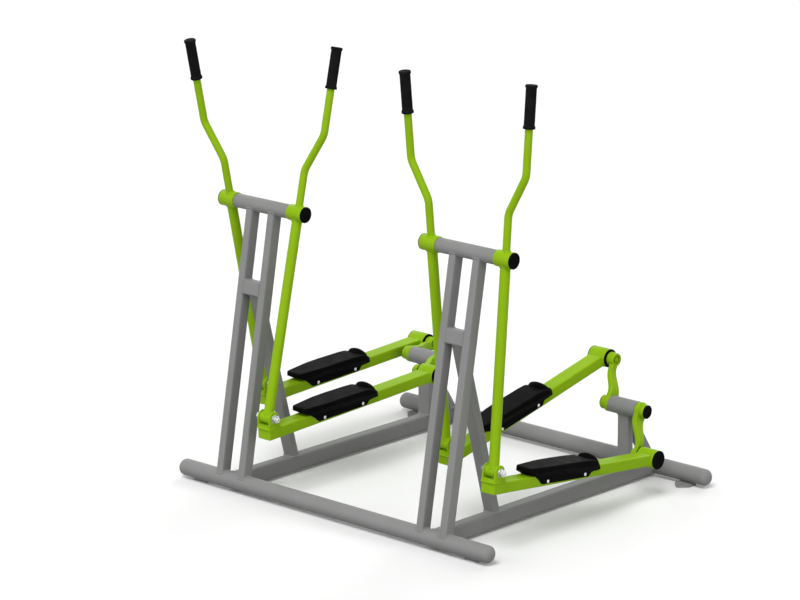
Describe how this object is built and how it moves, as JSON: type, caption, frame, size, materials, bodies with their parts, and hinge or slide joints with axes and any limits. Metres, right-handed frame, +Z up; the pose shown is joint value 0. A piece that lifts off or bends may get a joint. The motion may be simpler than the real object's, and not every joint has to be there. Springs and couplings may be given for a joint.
{
  "type": "outdoor air walker",
  "caption": "Two-station outdoor air walker with swinging handle arms, linked pedals and cranks on a welded tube base.",
  "frame": {"origin": "on the floor, under the middle of the base", "axes": "+X along the front tube, +Y to the rear where the cranks stand, +Z up"},
  "size_m": [1.484, 1.2184, 1.5992],
  "materials": {
    "grey_steel": "satin silver-grey powder coat",
    "green_steel": "semi-gloss lime green powder coat",
    "cap_plastic": "smooth black moulded plastic",
    "grip_rubber": "black rubber",
    "footplate_plastic": "grained black moulded plastic",
    "zinc_steel": "bright zinc plate"
  },
  "bodies": {
    "frame": {"front_tube": "grey_steel", "rear_tube": "grey_steel", "left_rail": "grey_steel", "left_column_left": "grey_steel", "left_column_right": "grey_steel", "left_bridge": "grey_steel", "left_brace": "grey_steel", "left_pivot_tube": "grey_steel", "left_pivot_shaft": "zinc_steel", "left_post": "grey_steel", "left_strut": "grey_steel", "left_crank_housing": "grey_steel", "right_rail": "grey_steel", "right_column_left": "grey_steel", "right_column_right": "grey_steel", "right_bridge": "grey_steel", "right_brace": "grey_steel", "right_pivot_tube": "grey_steel", "right_pivot_shaft": "zinc_steel", "right_post": "grey_steel", "right_strut": "grey_steel", "right_crank_housing": "grey_steel"},
    "left_swing_arm_left": {"left_swing_arm_left": "green_steel", "left_grip_left": "grip_rubber", "left_swing_hub_cap_left": "cap_plastic"},
    "left_pedal_left": {"left_pedal_arm_left": "green_steel", "left_footplate_left": "footplate_plastic", "left_clevis_bolt_left": "zinc_steel", "left_pedal_pin_left": "zinc_steel", "left_pedal_hub_cap_left": "cap_plastic"},
    "left_swing_arm_right": {"left_swing_arm_right": "green_steel", "left_grip_right": "grip_rubber", "left_swing_hub_cap_right": "cap_plastic"},
    "left_pedal_right": {"left_pedal_arm_right": "green_steel", "left_footplate_right": "footplate_plastic", "left_clevis_bolt_right": "zinc_steel", "left_pedal_pin_right": "zinc_steel", "left_pedal_hub_cap_right": "cap_plastic"},
    "left_crank": {"left_crank_arm_left": "green_steel", "left_crank_arm_right": "green_steel", "left_crank_shaft": "zinc_steel"},
    "right_swing_arm_left": {"right_swing_arm_left": "green_steel", "right_grip_left": "grip_rubber", "right_swing_hub_cap_left": "cap_plastic"},
    "right_pedal_left": {"right_pedal_arm_left": "green_steel", "right_footplate_left": "footplate_plastic", "right_clevis_bolt_left": "zinc_steel", "right_pedal_pin_left": "zinc_steel", "right_pedal_hub_cap_left": "cap_plastic"},
    "right_swing_arm_right": {"right_swing_arm_right": "green_steel", "right_grip_right": "grip_rubber", "right_swing_hub_cap_right": "cap_plastic"},
    "right_pedal_right": {"right_pedal_arm_right": "green_steel", "right_footplate_right": "footplate_plastic", "right_clevis_bolt_right": "zinc_steel", "right_pedal_pin_right": "zinc_steel", "right_pedal_hub_cap_right": "cap_plastic"},
    "right_crank": {"right_crank_arm_left": "green_steel", "right_crank_arm_right": "green_steel", "right_crank_shaft": "zinc_steel"}
  },
  "joints": [
    {"name": "left_swing_left", "type": "hinge", "parent": "frame", "child": "left_swing_arm_left", "pos_m": [-0.6493, -0.409, 1.0066], "axis": [1, 0, 0], "range_deg": [-24.6, 0]},
    {"name": "left_pedal_hinge_left", "type": "hinge", "parent": "left_swing_arm_left", "child": "left_pedal_left", "pos_m": [-0.6493, -0.25896, 0.29975], "axis": [1, 0, 0], "range_deg": [0, 24.6]},
    {"name": "left_swing_right", "type": "hinge", "parent": "frame", "child": "left_swing_arm_right", "pos_m": [-0.3157, -0.409, 1.0066], "axis": [1, 0, 0], "range_deg": [0, 24.6]},
    {"name": "left_pedal_hinge_right", "type": "hinge", "parent": "left_swing_arm_right", "child": "left_pedal_right", "pos_m": [-0.3157, -0.56793, 0.30169], "axis": [1, 0, 0], "range_deg": [-24.6, 0]},
    {"name": "left_crank_spin", "type": "hinge", "parent": "frame", "child": "left_crank", "pos_m": [-0.4825, 0.4232, 0.2846], "axis": [1, 0, 0], "continuous": true},
    {"name": "right_swing_left", "type": "hinge", "parent": "frame", "child": "right_swing_arm_left", "pos_m": [0.3157, -0.409, 1.0066], "axis": [1, 0, 0], "range_deg": [-16.5, 6.3]},
    {"name": "right_pedal_hinge_left", "type": "hinge", "parent": "right_swing_arm_left", "child": "right_pedal_left", "pos_m": [0.3157, -0.33768, 0.28753], "axis": [1, 0, 0], "range_deg": [-6.3, 16.5]},
    {"name": "right_swing_right", "type": "hinge", "parent": "frame", "child": "right_swing_arm_right", "pos_m": [0.6493, -0.409, 1.0066], "axis": [1, 0, 0], "range_deg": [-6.3, 16.5]},
    {"name": "right_pedal_hinge_right", "type": "hinge", "parent": "right_swing_arm_right", "child": "right_pedal_right", "pos_m": [0.6493, -0.46602, 0.28625], "axis": [1, 0, 0], "range_deg": [-16.5, 6.3]},
    {"name": "right_crank_spin", "type": "hinge", "parent": "frame", "child": "right_crank", "pos_m": [0.4825, 0.4232, 0.2846], "axis": [1, 0, 0], "continuous": true}
  ],
  "couplings": [
    {"joint": "left_pedal_hinge_left", "follows": "left_swing_left", "ratio": -1},
    {"joint": "left_swing_right", "follows": "left_swing_left", "ratio": -1},
    {"joint": "left_pedal_hinge_right", "follows": "left_swing_left", "ratio": 1},
    {"joint": "left_crank_spin", "follows": "left_swing_left", "ratio": -7.29},
    {"joint": "right_pedal_hinge_left", "follows": "right_swing_left", "ratio": -1},
    {"joint": "right_swing_right", "follows": "right_swing_left", "ratio": -1},
    {"joint": "right_pedal_hinge_right", "follows": "right_swing_left", "ratio": 1},
    {"joint": "right_crank_spin", "follows": "right_swing_left", "ratio": -5.2}
  ]
}
